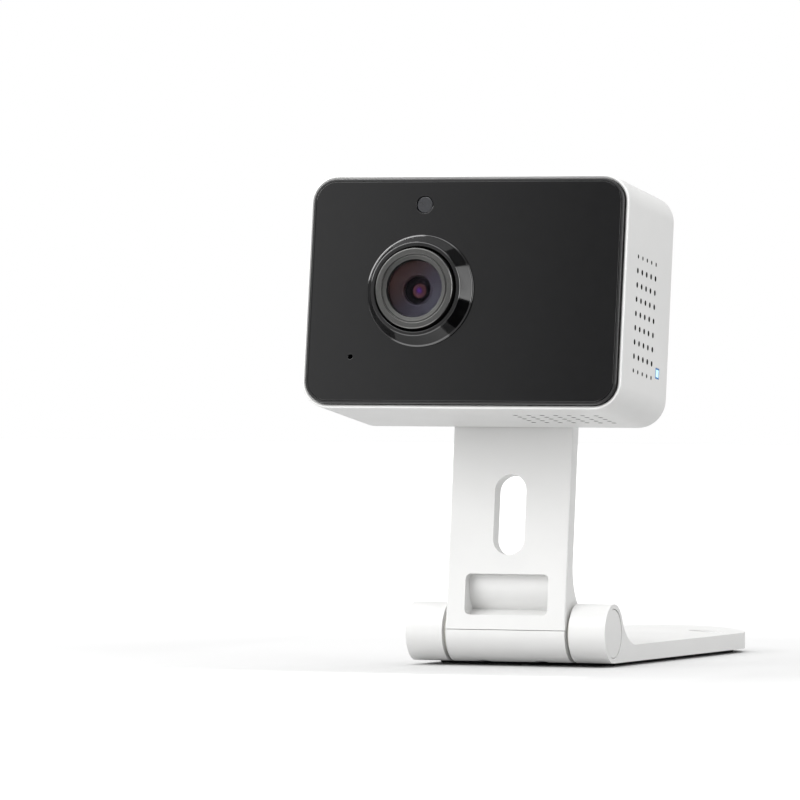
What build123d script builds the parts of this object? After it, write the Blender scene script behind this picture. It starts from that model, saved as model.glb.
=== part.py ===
from build123d import *
import os
from math import cos, radians, sin, sqrt

# Indoor security camera on a folding stand. Millimetres, +Z up, the lens looks towards -Y.
# The origin is the centre of the rubber pad's underside, on which the camera stands.
# Three bodies meet at two hinges: the foot, the arm that folds on it, and the head that tilts on the arm.

# ---- Driving dimensions ----

# Foot, measured from the axis of the base hinge.
foot_half = 20.92
foot_reach = 84.0
foot_edge = 3.3
foot_crown = 0.8
foot_skin = 1.2
pad_thick = 1.4
pad_proud = 0.8
ballast_thick = 1.5
pad_front = 8.0
pad_rim = 2.4
wall_hole_x = 14.4
wall_hole_y = 81.0
wall_hole_r = 2.1
wall_head_r = 3.8

# Base hinge: arm barrel between two knuckles of the foot.
hinge_r = 5.88
knuckle_in = 13.3
bay_r = 6.9
flare_r = 10.0
pin_r = 1.5
running_gap = 0.05
cap_r = 4.95
cap_deep = 1.55
well_r = 4.0
well_floor = 16.6

# Arm, measured from the base hinge up its own lean.
arm_lean = 6.7
arm_wide = 25.06
arm_thick = 3.38
shoulder_z = 58.5
neck_half = 7.0
slot_wide = 6.6
slot_low = 14.9
slot_high = 31.0
pocket_wide = 17.4
pocket_low = 2.9
pocket_high = 11.1
pocket_r = 1.1
pocket_core_r = 4.5
cover_wall = 1.2

# Tilt hinge at the top of the arm.
tilt_y = -6.44
tilt_z = 63.5
tilt_r = 4.0
tilt_pin_r = 1.2
lug_in = 7.5
lug_out = 12.5

# Head. Depths are counted rearwards from the front of the black panel.
head_tilt = 7.5
face_ahead = 31.3
face_above = 67.6
body_wide = 66.0
body_high = 46.2
body_r = 5.5
body_front = 0.8
body_back = 29.6
wall = 1.8
panel_wide = 64.3
panel_high = 44.5
panel_r = 4.65
panel_seat = 2.4
glass_thick = 1.1
bezel_rim = 0.6
lens_x = -8.9
sensor_z = 17.1
mic_x = -22.9
mic_z = -13.0
vent_pitch = 2.8
vent_first_y = 7.95
vent_top_z = 7.96
speaker_pitch = 2.78
speaker_x = 16.67
speaker_y = 15.87
led_y = 22.9
led_z = -13.1
led_wide = 2.3
led_high = 2.1
post_x = 28.6
post_z = 18.7
post_r = 2.6
cover_front = 27.4
cover_back = 29.4
sensor_board_front = 11.0
sensor_board_back = 12.0
main_board_front = 23.4
main_board_back = 24.6
usb_x = -15.0
usb_z = -9.0
button_x = 15.5
button_z = -9.0

# ---- The three frames ----

ballast_top = -hinge_r + foot_edge - foot_skin
pad_end = foot_reach + foot_half - pad_rim
hinge_y = -(pad_front + pad_end) / 2
hinge_z = hinge_r + pad_proud

foot_frame = Plane(origin=(0, hinge_y, hinge_z))
arm_frame = Plane(
    origin=foot_frame.origin,
    x_dir=(1, 0, 0),
    z_dir=(0, sin(radians(arm_lean)), cos(radians(arm_lean))),
)
head_frame = Plane(
    origin=(0, hinge_y - face_ahead, hinge_z + face_above),
    x_dir=(1, 0, 0),
    z_dir=(0, sin(radians(head_tilt)), cos(radians(head_tilt))),
)
tilt_point = arm_frame.from_local_coords(Vector(0, tilt_y, tilt_z))
tilt_head = head_frame.to_local_coords(tilt_point)
head_rear = Axis(head_frame.origin, head_frame.y_dir)
arm_rear = Axis(arm_frame.origin, arm_frame.y_dir)
arm_up = Axis(arm_frame.origin, arm_frame.z_dir)


def facing(frame, depth):
    """Plane across a body, this far behind its origin: x to the right, y up.
    A negative extrusion from it runs rearwards."""
    return Plane(frame.from_local_coords(Vector(0, depth, 0)), x_dir=frame.x_dir, z_dir=-frame.y_dir)


def beside(frame, x):
    """Plane along a body at this x: x to the rear, y up, and a positive extrusion runs to the right."""
    return Plane(frame.from_local_coords(Vector(x, 0, 0)), x_dir=frame.y_dir, z_dir=frame.x_dir)


def corners(x, z):
    """The four corners of a rectangle about the middle."""
    return [(-x, -z), (x, -z), (x, z), (-x, z)]


os.makedirs("parts", exist_ok=True)

# ---- Head: shells ----

inner_wide = body_wide - 2 * wall
inner_high = body_high - 2 * wall
glass_wide = panel_wide - 2 * bezel_rim
glass_high = panel_high - 2 * bezel_rim
glass_r = panel_r - bezel_rim
bezel_front = 0.1
seat_gap = 0.1
rim_round = 0.35
rim_chamfer = 0.35
vent_r = 0.57
end_vent_r = 0.43
speaker_hole_r = 0.54


def vent_holes(slack):
    """Side vents: five columns of nine holes, the top and bottom rows a little smaller."""
    for column in range(5):
        for row in range(9):
            hole_r = end_vent_r if row in (0, 8) else vent_r
            with Locations((vent_first_y + vent_pitch * column, vent_top_z - vent_pitch * row)):
                Circle(hole_r - slack)


# White housing: an open tube with a seat for the black panel and four screw posts in its corners.
with BuildPart() as housing:
    with BuildSketch(facing(head_frame, body_front)):
        RectangleRounded(body_wide, body_high, body_r)
    extrude(amount=body_front - body_back)
    fillet(housing.faces().sort_by(head_rear)[0].edges(), radius=rim_round)
    fillet(housing.faces().sort_by(head_rear)[-1].edges(), radius=0.6)
    with BuildSketch(facing(head_frame, body_front)):
        RectangleRounded(panel_wide + 2 * seat_gap, panel_high + 2 * seat_gap, panel_r + seat_gap)
    extrude(amount=body_front - panel_seat, mode=Mode.SUBTRACT)
    chamfer(housing.faces().sort_by(head_rear)[0].inner_wires().edges(), length=rim_chamfer)
    with BuildSketch(facing(head_frame, panel_seat)):
        RectangleRounded(inner_wide, inner_high, body_r - wall)
    extrude(amount=panel_seat - body_back, mode=Mode.SUBTRACT)
    with BuildSketch(facing(head_frame, panel_seat)):
        with Locations(*corners(post_x, post_z)):
            Circle(post_r)
    extrude(amount=panel_seat - cover_front)
    with BuildSketch(facing(head_frame, cover_front)):
        with Locations(*corners(post_x, post_z)):
            Circle(1.05)
    extrude(amount=9, mode=Mode.SUBTRACT)
    # Side vents and the window of the status light.
    with BuildSketch(beside(head_frame, body_wide / 2)):
        vent_holes(0)
        with Locations((led_y, led_z)):
            Rectangle(led_wide + 0.1, led_high + 0.1)
    extrude(amount=-wall, mode=Mode.SUBTRACT)
    # Speaker holes in the floor.
    with BuildSketch(head_frame.offset(-body_high / 2)):
        with Locations((speaker_x, speaker_y)):
            with GridLocations(speaker_pitch, speaker_pitch, 7, 5):
                Circle(speaker_hole_r)
    extrude(amount=wall, mode=Mode.SUBTRACT)

# Open-cell foam behind the vents: a sheet on the wall, pressed into the holes.
foam_thick = 0.8
foam_below = 0.03
foam_slack = 0.02
with BuildPart() as vent_foam:
    with BuildSketch(beside(head_frame, body_wide / 2 - wall - foam_thick)):
        with Locations((vent_first_y + 2 * vent_pitch, vent_top_z - 4 * vent_pitch)):
            Rectangle(5 * vent_pitch, 9 * vent_pitch)
    extrude(amount=foam_thick)
    with BuildSketch(beside(head_frame, body_wide / 2 - wall)):
        vent_holes(foam_slack)
    extrude(amount=wall - foam_below)

# Black bezel: a tray behind the glossy panel, with three bosses for the sensor board.
ir_spots = [(lens_x + dx, dz) for dx in (-12.4, 12.4) for dz in (-9.2, 9.2)]
board_bosses = [(-23.0, 15.5), (3.5, 15.5), (3.5, -15.5)]
with BuildPart() as front_bezel:
    with BuildSketch(facing(head_frame, bezel_front)):
        RectangleRounded(panel_wide, panel_high, panel_r)
    extrude(amount=bezel_front - panel_seat)
    fillet(front_bezel.faces().sort_by(head_rear)[0].edges(), radius=0.2)
    with BuildSketch(facing(head_frame, bezel_front)):
        RectangleRounded(glass_wide + 0.16, glass_high + 0.16, glass_r + 0.08)
    extrude(amount=bezel_front - glass_thick, mode=Mode.SUBTRACT)
    with BuildSketch(facing(head_frame, panel_seat)):
        with Locations(*board_bosses):
            Circle(1.8)
    extrude(amount=panel_seat - sensor_board_front)
    with BuildSketch(facing(head_frame, sensor_board_front)):
        with Locations(*board_bosses):
            Circle(0.8)
    extrude(amount=6, mode=Mode.SUBTRACT)
    with BuildSketch(facing(head_frame, glass_thick)):
        with Locations((lens_x, 0)):
            Circle(10.0)
        with Locations((lens_x, sensor_z)):
            Circle(1.7)
        with Locations((mic_x, mic_z)):
            Circle(0.5)
        with Locations(*ir_spots):
            Circle(2.6)
    extrude(amount=glass_thick - panel_seat, mode=Mode.SUBTRACT)

with BuildPart() as cover_panel:
    with BuildSketch(facing(head_frame, 0)):
        RectangleRounded(glass_wide, glass_high, glass_r)
        with Locations((lens_x, 0)):
            Circle(10.0, mode=Mode.SUBTRACT)
        with Locations((lens_x, sensor_z)):
            Circle(1.75, mode=Mode.SUBTRACT)
        with Locations((mic_x, mic_z)):
            Circle(0.5, mode=Mode.SUBTRACT)
    extrude(amount=-glass_thick)

# Rear cover with the two lugs of the tilt hinge, a hollow for the arm's barrel and four bosses for the main board.
cover_gap = 0.15
cover_wide = inner_wide - 2 * cover_gap
cover_high = inner_high - 2 * cover_gap
button_r = 1.5
board_posts = corners(23.5, 10.5)
with BuildPart() as rear_cover:
    with BuildSketch(facing(head_frame, cover_front)):
        RectangleRounded(cover_wide, cover_high, body_r - wall - cover_gap)
    extrude(amount=cover_front - cover_back)
    for lug_x in (-lug_out, lug_in):
        with BuildSketch(beside(head_frame, lug_x)):
            with Locations((tilt_head.Y, tilt_head.Z)):
                Circle(tilt_r)
            with Locations(((tilt_head.Y + cover_front) / 2, tilt_head.Z)):
                Rectangle(tilt_head.Y - cover_front, 2 * tilt_r)
        extrude(amount=lug_out - lug_in)
    with BuildSketch(beside(head_frame, -lug_in)):
        with Locations((tilt_head.Y, tilt_head.Z)):
            Circle(tilt_r + 0.4)
    extrude(amount=2 * lug_in, mode=Mode.SUBTRACT)
    with BuildSketch(beside(head_frame, -lug_out)):
        with Locations((tilt_head.Y, tilt_head.Z)):
            Circle(tilt_pin_r + 0.02)
    extrude(amount=2 * lug_out, mode=Mode.SUBTRACT)
    with BuildSketch(facing(head_frame, cover_front)):
        with Locations(*board_posts):
            Circle(2.0)
    extrude(amount=cover_front - main_board_back)
    with BuildSketch(facing(head_frame, main_board_back)):
        with Locations(*board_posts):
            Circle(0.8)
    extrude(amount=main_board_back - cover_front - 0.8, mode=Mode.SUBTRACT)
    # Countersunk corner holes, the power opening and the button's hole.
    with BuildSketch(facing(head_frame, cover_back)):
        with Locations(*corners(post_x, post_z)):
            Circle(1.15)
        with Locations((usb_x, usb_z)):
            RectangleRounded(9.4, 4.2, 1.2)
        with Locations((button_x, button_z)):
            Circle(button_r + running_gap)
    extrude(amount=cover_back - cover_front, mode=Mode.SUBTRACT)
    with BuildSketch(facing(head_frame, cover_back)):
        with Locations(*corners(post_x, post_z)):
            Circle(1.95)
    extrude(amount=0.9, taper=42, mode=Mode.SUBTRACT)

# ---- Head: lens ----

lens_plane = Plane(
    head_frame.from_local_coords(Vector(lens_x, 0, 0)),
    x_dir=head_frame.x_dir,
    z_dir=head_frame.z_dir,
)
lens_axis = Axis(lens_plane.origin, lens_plane.y_dir)

# Profiles are (radius, depth) about the lens axis.
with BuildPart() as lens_trim_ring:
    with BuildSketch(lens_plane):
        with BuildLine():
            Polyline((8.35, 2.2), (8.35, -3.1), (8.55, -3.3), (9.15, -3.3), (9.4, -3.1))
            Polyline((9.4, -3.1), (10.75, -0.55), (11.1, -0.4), (11.1, 0), (9.9, 0), (9.9, 2.2), (8.35, 2.2))
        make_face()
    revolve(axis=lens_axis)

thread_r = 6.0
with BuildPart() as lens_barrel:
    with BuildSketch(lens_plane):
        with BuildLine():
            Polyline((5.65, -3.55), (6.5, -3.9), (6.6, -3.75), (6.75, -3.75), (6.85, -4.07), (7.8, -4.07))
            Polyline((7.8, -4.07), (7.98, -3.9), (7.98, 2.2), (thread_r, 2.2), (thread_r, 8.8), (4.5, 8.8))
            Polyline((4.5, 8.8), (4.5, 1.0), (5.65, 1.0), (5.65, -3.55))
        make_face()
    revolve(axis=lens_axis)

with BuildPart() as lens_front_element:
    with BuildSketch(lens_plane):
        with BuildLine():
            Polyline((0, -3.4), (0, -1.9), (5.6, -1.9), (5.6, -2.35))
            TangentArc((0, -3.4), (5.6, -2.35), tangent=(1, 0))
        make_face()
    revolve(axis=lens_axis)

# Blackened ring that holds the front element against the barrel's mouth.
with BuildPart() as lens_spacer:
    with BuildSketch(lens_plane):
        with BuildLine():
            Polyline((2.75, 1.0), (2.75, -1.4), (2.95, -1.5), (3.15, -1.4), (5.2, -1.85), (5.6, -1.9), (5.6, 1.0))
            Line((5.6, 1.0), (2.75, 1.0))
        make_face()
    revolve(axis=lens_axis)

# Thin black stop whose small hole lets the second element show.
with BuildPart() as aperture_stop:
    with BuildSketch(lens_plane):
        with BuildLine():
            Polyline((2.73, -0.45), (2.73, 0.0), (1.5, 0.0), (1.4, -0.2), (1.9, -0.45), close=True)
        make_face()
    revolve(axis=lens_axis)

with BuildPart() as lens_second_element:
    with BuildSketch(lens_plane):
        with BuildLine():
            Polyline((0, -0.2), (0, 1.6), (2.7, 1.6), (2.7, 0.75))
            TangentArc((0, -0.2), (2.7, 0.75), tangent=(1, 0))
        make_face()
    revolve(axis=lens_axis)

# Square holder with the barrel's thread seat, standing on the sensor board.
with BuildPart() as lens_holder:
    with BuildSketch(facing(head_frame, 3.2)):
        with Locations((lens_x, 0)):
            Circle(7.6)
    extrude(amount=3.2 - 8.0)
    with BuildSketch(facing(head_frame, 8.0)):
        with Locations((lens_x, 0)):
            RectangleRounded(15.6, 15.6, 1.5)
    extrude(amount=8.0 - sensor_board_front)
    with BuildSketch(facing(head_frame, 3.2)):
        with Locations((lens_x, 0)):
            Circle(thread_r + 0.03)
    extrude(amount=3.2 - 9.2, mode=Mode.SUBTRACT)
    with BuildSketch(facing(head_frame, 9.2)):
        with Locations((lens_x, 0)):
            Rectangle(10, 9)
    extrude(amount=9.2 - sensor_board_front, mode=Mode.SUBTRACT)


def block(frame, x, z, wide, high, front, back):
    """A plain box in a body: its middle (x, z), its size across, and its front and back depths."""
    with BuildPart(frame) as made:
        with Locations((x, (front + back) / 2, z)):
            Box(wide, back - front, high)
    return made


ir_cut_filter = block(head_frame, lens_x, 0, 8, 8, 9.25, 9.65)
image_sensor = block(head_frame, lens_x, 0, 8.4, 7.2, 10.0, 11.0)

# ---- Head: front electronics ----

with BuildPart() as sensor_board:
    with BuildSketch(facing(head_frame, sensor_board_front)):
        with Locations((-10, 0.5)):
            RectangleRounded(31, 37, 1.5)
        with Locations(*board_bosses):
            Circle(0.95, mode=Mode.SUBTRACT)
    extrude(amount=sensor_board_front - sensor_board_back)

with BuildPart() as light_sensor_window:
    with BuildSketch(facing(head_frame, 0.15)):
        with Locations((lens_x, sensor_z)):
            Circle(1.62)
    extrude(amount=0.15 - panel_seat)

light_sensor = block(head_frame, lens_x, sensor_z, 2.2, 2.0, 10.0, 11.0)

# Microphone capsule in a rubber boot that seals it to its pin-hole.
with BuildPart() as microphone:
    with BuildSketch(facing(head_frame, 8.9)):
        with Locations((mic_x, mic_z)):
            Circle(2.0)
    extrude(amount=8.9 - sensor_board_front)

with BuildPart() as microphone_boot:
    with BuildSketch(facing(head_frame, panel_seat)):
        with Locations((mic_x, mic_z)):
            Circle(2.5)
    extrude(amount=panel_seat - 10.8)
    with BuildSketch(facing(head_frame, panel_seat)):
        with Locations((mic_x, mic_z)):
            Circle(0.6)
    extrude(amount=panel_seat - 10.8, mode=Mode.SUBTRACT)
    with BuildSketch(facing(head_frame, 8.85)):
        with Locations((mic_x, mic_z)):
            Circle(2.03)
    extrude(amount=8.85 - 10.8, mode=Mode.SUBTRACT)

# Infrared LEDs: domed lamps on the sensor board, behind the dark panel.
with BuildPart() as ir_leds:
    with BuildSketch(facing(head_frame, sensor_board_front)):
        with Locations(*ir_spots):
            Circle(1.5)
    extrude(amount=5.4)
    for x, z in ir_spots:
        with Locations(head_frame.from_local_coords(Vector(x, sensor_board_front - 5.4, z))):
            Sphere(1.5)

# ---- Head: rear electronics ----

with BuildPart() as main_board:
    with BuildSketch(facing(head_frame, main_board_front)):
        RectangleRounded(56, 27, 1.5)
        with Locations(*board_posts):
            Circle(0.95, mode=Mode.SUBTRACT)
    extrude(amount=main_board_front - main_board_back)

processor = block(head_frame, 5, 2, 11, 11, 22.5, main_board_front)
thermal_pad = block(head_frame, 5, 2, 10, 10, 21.6, 22.5)
with BuildPart() as shield_can:
    with BuildSketch(facing(head_frame, 21.3)):
        with Locations((5, 2)):
            RectangleRounded(16, 15, 0.8)
    extrude(amount=21.3 - main_board_front)
    with BuildSketch(facing(head_frame, 21.55)):
        with Locations((5, 2)):
            RectangleRounded(15.5, 14.5, 0.55)
    extrude(amount=21.55 - main_board_front, mode=Mode.SUBTRACT)

# Flat flex cable between the two boards, folded once like a letter Z.
with BuildPart() as flex_connectors:
    with BuildSketch(facing(head_frame, sensor_board_back)):
        with Locations((-16, 8)):
            Rectangle(12, 3)
    extrude(amount=-1.2)
    with BuildSketch(facing(head_frame, main_board_front)):
        with Locations((-16, -2)):
            Rectangle(12, 3)
    extrude(amount=1.2)

with BuildPart() as flex_cable:
    with BuildSketch(beside(head_frame, -21)):
        with BuildLine():
            FilletPolyline((13.25, 8), (16, 8), (19.5, -2), (22.15, -2), radius=1.2)
        trace(line_width=0.25)
    extrude(amount=10)

with BuildPart() as usb_socket:
    with BuildSketch(facing(head_frame, main_board_back)):
        with Locations((usb_x, usb_z)):
            RectangleRounded(8.0, 3.0, 1.0)
    extrude(amount=main_board_back - 29.2)
    with BuildSketch(facing(head_frame, 29.2)):
        with Locations((usb_x, usb_z)):
            RectangleRounded(7.2, 2.2, 0.7)
            Rectangle(4.4, 0.7, mode=Mode.SUBTRACT)
    extrude(amount=3.6, mode=Mode.SUBTRACT)

status_led = block(head_frame, 27.0, led_z, 1.6, 0.8, 22.7, main_board_front)

with BuildPart() as light_pipe:
    with BuildSketch(beside(head_frame, 28.4)):
        with Locations((led_y, led_z)):
            Rectangle(led_wide, led_high)
    extrude(amount=body_wide / 2 - 28.4)

antenna = block(head_frame, 4, 21.1, 34, 0.4, 12, 19)

# Reset switch on the main board and the button that reaches it through the rear cover.
with BuildPart() as reset_switch:
    with BuildSketch(facing(head_frame, main_board_back)):
        with Locations((button_x, button_z)):
            RectangleRounded(3.4, 3.4, 0.3)
    extrude(amount=-1.0)
    with BuildSketch(facing(head_frame, main_board_back + 1.0)):
        with Locations((button_x, button_z)):
            Circle(0.8)
    extrude(amount=-0.3)

with BuildPart() as reset_button:
    with BuildSketch(facing(head_frame, 26.5)):
        with Locations((button_x, button_z)):
            Circle(2.2)
    extrude(amount=-0.8)
    with BuildSketch(facing(head_frame, 26.5)):
        with Locations((button_x, button_z)):
            Circle(button_r)
    extrude(amount=26.5 - 29.2)
    fillet(reset_button.faces().sort_by(head_rear)[-1].edges(), radius=0.3)

# ---- Head: speaker over the holes in the floor ----

speaker_wide = 18.4
speaker_deep = 13.2
floor_z = -inner_high / 2
with BuildPart() as speaker_gasket:
    with BuildSketch(head_frame.offset(floor_z)):
        with Locations((speaker_x, speaker_y)):
            RectangleRounded(18.6, 13.0, 1.2)
            RectangleRounded(17.5, 12.1, 0.9, mode=Mode.SUBTRACT)
    extrude(amount=0.6)

# Acoustic foam inside the gasket, pressed into the speaker's holes.
with BuildPart() as speaker_foam:
    with BuildSketch(head_frame.offset(floor_z)):
        with Locations((speaker_x, speaker_y)):
            RectangleRounded(17.3, 11.9, 0.8)
    extrude(amount=0.5)
    with BuildSketch(head_frame.offset(-body_high / 2 + foam_below)):
        with Locations((speaker_x, speaker_y)):
            with GridLocations(speaker_pitch, speaker_pitch, 7, 5):
                Circle(speaker_hole_r - foam_slack)
    extrude(amount=wall - foam_below)

with BuildPart() as speaker_frame:
    with BuildSketch(head_frame.offset(floor_z + 0.6)):
        with Locations((speaker_x, speaker_y)):
            RectangleRounded(speaker_wide, speaker_deep, 2.0)
    extrude(amount=3.0)
    with BuildSketch(head_frame.offset(floor_z + 0.6)):
        with Locations((speaker_x, speaker_y)):
            RectangleRounded(speaker_wide - 1.6, speaker_deep - 1.6, 1.2)
    extrude(amount=2.4, mode=Mode.SUBTRACT)
    with BuildSketch(head_frame.offset(floor_z + 3.0)):
        with Locations((speaker_x, speaker_y)):
            Circle(4.6)
    extrude(amount=0.6, mode=Mode.SUBTRACT)

with BuildPart() as speaker_cone:
    with BuildSketch(head_frame.offset(floor_z + 1.0)):
        with Locations((speaker_x, speaker_y)):
            RectangleRounded(speaker_wide - 1.8, speaker_deep - 1.8, 1.1)
    extrude(amount=0.4)
    with BuildSketch(head_frame.offset(floor_z + 1.4)):
        with Locations((speaker_x, speaker_y)):
            Circle(4.0)
            Circle(3.4, mode=Mode.SUBTRACT)
    extrude(amount=1.4)

with BuildPart() as speaker_magnet:
    with BuildSketch(head_frame.offset(floor_z + 3.0)):
        with Locations((speaker_x, speaker_y)):
            Circle(4.5)
    extrude(amount=1.2)

# ---- Head: fasteners and tilt hinge ----

def screws(frame, spots, head_at, shank, head_r, shank_r, sunk):
    """Screws driven forwards (shank > 0) or rearwards (shank < 0) from a head face at this depth."""
    way = 1 if shank > 0 else -1
    with BuildPart() as made:
        with BuildSketch(facing(frame, head_at)):
            with Locations(*spots):
                Circle(head_r)
        extrude(amount=way * 0.85, taper=42 if sunk else 0)
        with BuildSketch(facing(frame, head_at)):
            with Locations(*spots):
                Circle(shank_r)
        extrude(amount=shank)
        with BuildSketch(facing(frame, head_at)):
            with Locations(*spots):
                Rectangle(head_r * 1.1, 0.35)
                Rectangle(0.35, head_r * 1.1)
        extrude(amount=way * 0.4, mode=Mode.SUBTRACT)
    return made


rear_cover_screws = screws(head_frame, corners(post_x, post_z), cover_back, 9.0, 1.85, 1.0, True)
sensor_board_screws = screws(head_frame, board_bosses, sensor_board_back + 0.85, 6.0, 1.6, 0.75, False)
main_board_screws = screws(head_frame, board_posts, main_board_front - 0.85, -4.5, 1.6, 0.75, False)

with BuildPart() as tilt_pin:
    with BuildSketch(beside(arm_frame, -lug_out + 0.2)):
        with Locations((tilt_y, tilt_z)):
            Circle(tilt_pin_r)
    extrude(amount=2 * lug_out - 0.4)

with BuildPart() as tilt_washers:
    for washer_x in (-lug_in + 0.05, neck_half + 0.05):
        with BuildSketch(beside(arm_frame, washer_x)):
            with Locations((tilt_y, tilt_z)):
                Circle(3.2)
                Circle(tilt_pin_r + 0.05, mode=Mode.SUBTRACT)
        extrude(amount=0.4)

# ---- Arm ----


def flare_profile(surface, upright):
    """Corner fillet between a hinge barrel and a flat face that passes its axis at this distance.
    Upright is True for the arm's rear face and False for the foot's top face."""
    far = sqrt((hinge_r + flare_r) ** 2 - (surface + flare_r) ** 2)
    share = hinge_r / (hinge_r + flare_r)
    on_barrel = ((surface + flare_r) * share, far * share)
    on_face = (surface, far)
    points = [on_face, (surface - 1.4, far), (surface - 1.4, 1.0), (0, 0), on_barrel]
    if not upright:
        points = [(b, a) for a, b in points]
    return points


arm_back = -hinge_r + arm_thick
bush_r = 2.6
bush_long = 4.0

# Finger pocket: its back follows the flare behind it, and its floor rolls over the hinge's core.
with BuildPart() as finger_scoop:
    with BuildSketch(beside(arm_frame, -pocket_wide / 2)):
        with BuildLine():
            Polyline((1.8, pocket_low), (-hinge_r, pocket_low), (-hinge_r, pocket_high), (-3.5, pocket_high))
            ThreePointArc((-3.5, pocket_high), (-2.3, 6.2), (1.8, pocket_low))
        make_face()
        Circle(pocket_core_r, mode=Mode.SUBTRACT)
    extrude(amount=pocket_wide)
    with BuildSketch(facing(arm_frame, -hinge_r - 1)):
        with Locations((0, (pocket_low + pocket_high) / 2)):
            RectangleRounded(pocket_wide, pocket_high - pocket_low, pocket_r)
    extrude(amount=-2 * hinge_r, mode=Mode.INTERSECT)

with BuildPart() as arm:
    with BuildSketch(facing(arm_frame, -hinge_r)) as arm_outline:
        with Locations((0, shoulder_z / 2)):
            Rectangle(arm_wide, shoulder_z)
        with Locations((0, (shoulder_z + tilt_z) / 2)):
            Rectangle(2 * neck_half, tilt_z - shoulder_z)
        fillet(arm_outline.vertices().group_by(Axis.Y)[2], radius=2.5)
    extrude(amount=-arm_thick)
    fillet(arm.faces().sort_by(arm_rear)[0].edges().filter_by(arm_up), radius=0.35)
    with BuildSketch(beside(arm_frame, -arm_wide / 2)):
        Circle(hinge_r)
        outline = flare_profile(arm_back, True)
        with BuildLine():
            Polyline(*outline)
            RadiusArc(outline[-1], outline[0], flare_r)
        make_face()
    extrude(amount=arm_wide)
    with BuildSketch(beside(arm_frame, -neck_half)):
        with Locations((tilt_y, tilt_z)):
            Circle(tilt_r)
    extrude(amount=2 * neck_half)
    # Long slot, its ends fully round.
    with BuildSketch(facing(arm_frame, -hinge_r)):
        with Locations((0, (slot_low + slot_high) / 2)):
            SlotOverall(slot_high - slot_low, slot_wide, rotation=90)
    extrude(amount=-arm_thick - 1, mode=Mode.SUBTRACT)
    add(finger_scoop.part, mode=Mode.SUBTRACT)
    # Lower half of the barrel is turned down to take its cover.
    with BuildSketch(beside(arm_frame, -arm_wide / 2)):
        Circle(hinge_r + 1)
        Circle(hinge_r - cover_wall, mode=Mode.SUBTRACT)
        with Locations((0, hinge_r + 1)):
            Rectangle(4 * hinge_r, 2 * hinge_r + 2, mode=Mode.SUBTRACT)
    extrude(amount=arm_wide, mode=Mode.SUBTRACT)
    # Bores of the base hinge and of the tilt hinge, and the holes for the cover's screws.
    with BuildSketch(beside(arm_frame, -arm_wide / 2)):
        Circle(pin_r + 0.2)
        with Locations((tilt_y, tilt_z)):
            Circle(tilt_pin_r + running_gap)
    extrude(amount=arm_wide, mode=Mode.SUBTRACT)
    for bush_x in (-arm_wide / 2, arm_wide / 2 - bush_long):
        with BuildSketch(beside(arm_frame, bush_x)):
            Circle(bush_r + 0.02)
        extrude(amount=bush_long, mode=Mode.SUBTRACT)
    with BuildSketch(arm_frame.offset(-hinge_r)):
        with Locations((-6, 0), (6, 0)):
            Circle(0.7)
    extrude(amount=3.9, mode=Mode.SUBTRACT)

cover_seam = 0.12
with BuildPart() as barrel_cover:
    with BuildSketch(beside(arm_frame, -arm_wide / 2 + 0.05)):
        Circle(hinge_r)
        Circle(hinge_r - cover_wall + 0.02, mode=Mode.SUBTRACT)
        with Locations((0, hinge_r - cover_seam)):
            Rectangle(4 * hinge_r, 2 * hinge_r, mode=Mode.SUBTRACT)
    extrude(amount=arm_wide - 0.1)
    with BuildSketch(arm_frame.offset(-hinge_r)):
        with Locations((-6, 0), (6, 0)):
            Circle(0.75)
    extrude(amount=2, mode=Mode.SUBTRACT)
    with BuildSketch(arm_frame.offset(-hinge_r)):
        with Locations((-6, 0), (6, 0)):
            Circle(1.4)
    extrude(amount=0.7, mode=Mode.SUBTRACT)

with BuildPart() as barrel_cover_screws:
    with BuildSketch(arm_frame.offset(-hinge_r + 0.2)):
        with Locations((-6, 0), (6, 0)):
            Circle(1.3)
    extrude(amount=0.5)
    with BuildSketch(arm_frame.offset(-hinge_r + 0.2)):
        with Locations((-6, 0), (6, 0)):
            Circle(0.65)
    extrude(amount=3.5)

with BuildPart() as base_bushes:
    for bush_x in (-arm_wide / 2, arm_wide / 2 - bush_long):
        with BuildSketch(beside(arm_frame, bush_x)):
            Circle(bush_r)
            Circle(pin_r + running_gap, mode=Mode.SUBTRACT)
        extrude(amount=bush_long)

# ---- Foot ----

foot_bottom = -hinge_r
foot_top = foot_bottom + foot_edge


def foot_outline(front, inset):
    """Plan of the foot: straight sides and a half-round end, drawn inset from the edge."""
    half = foot_half - inset
    with Locations((0, (front + foot_reach) / 2)):
        Rectangle(2 * half, foot_reach - front)
    with Locations((0, foot_reach)):
        Circle(half)


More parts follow.
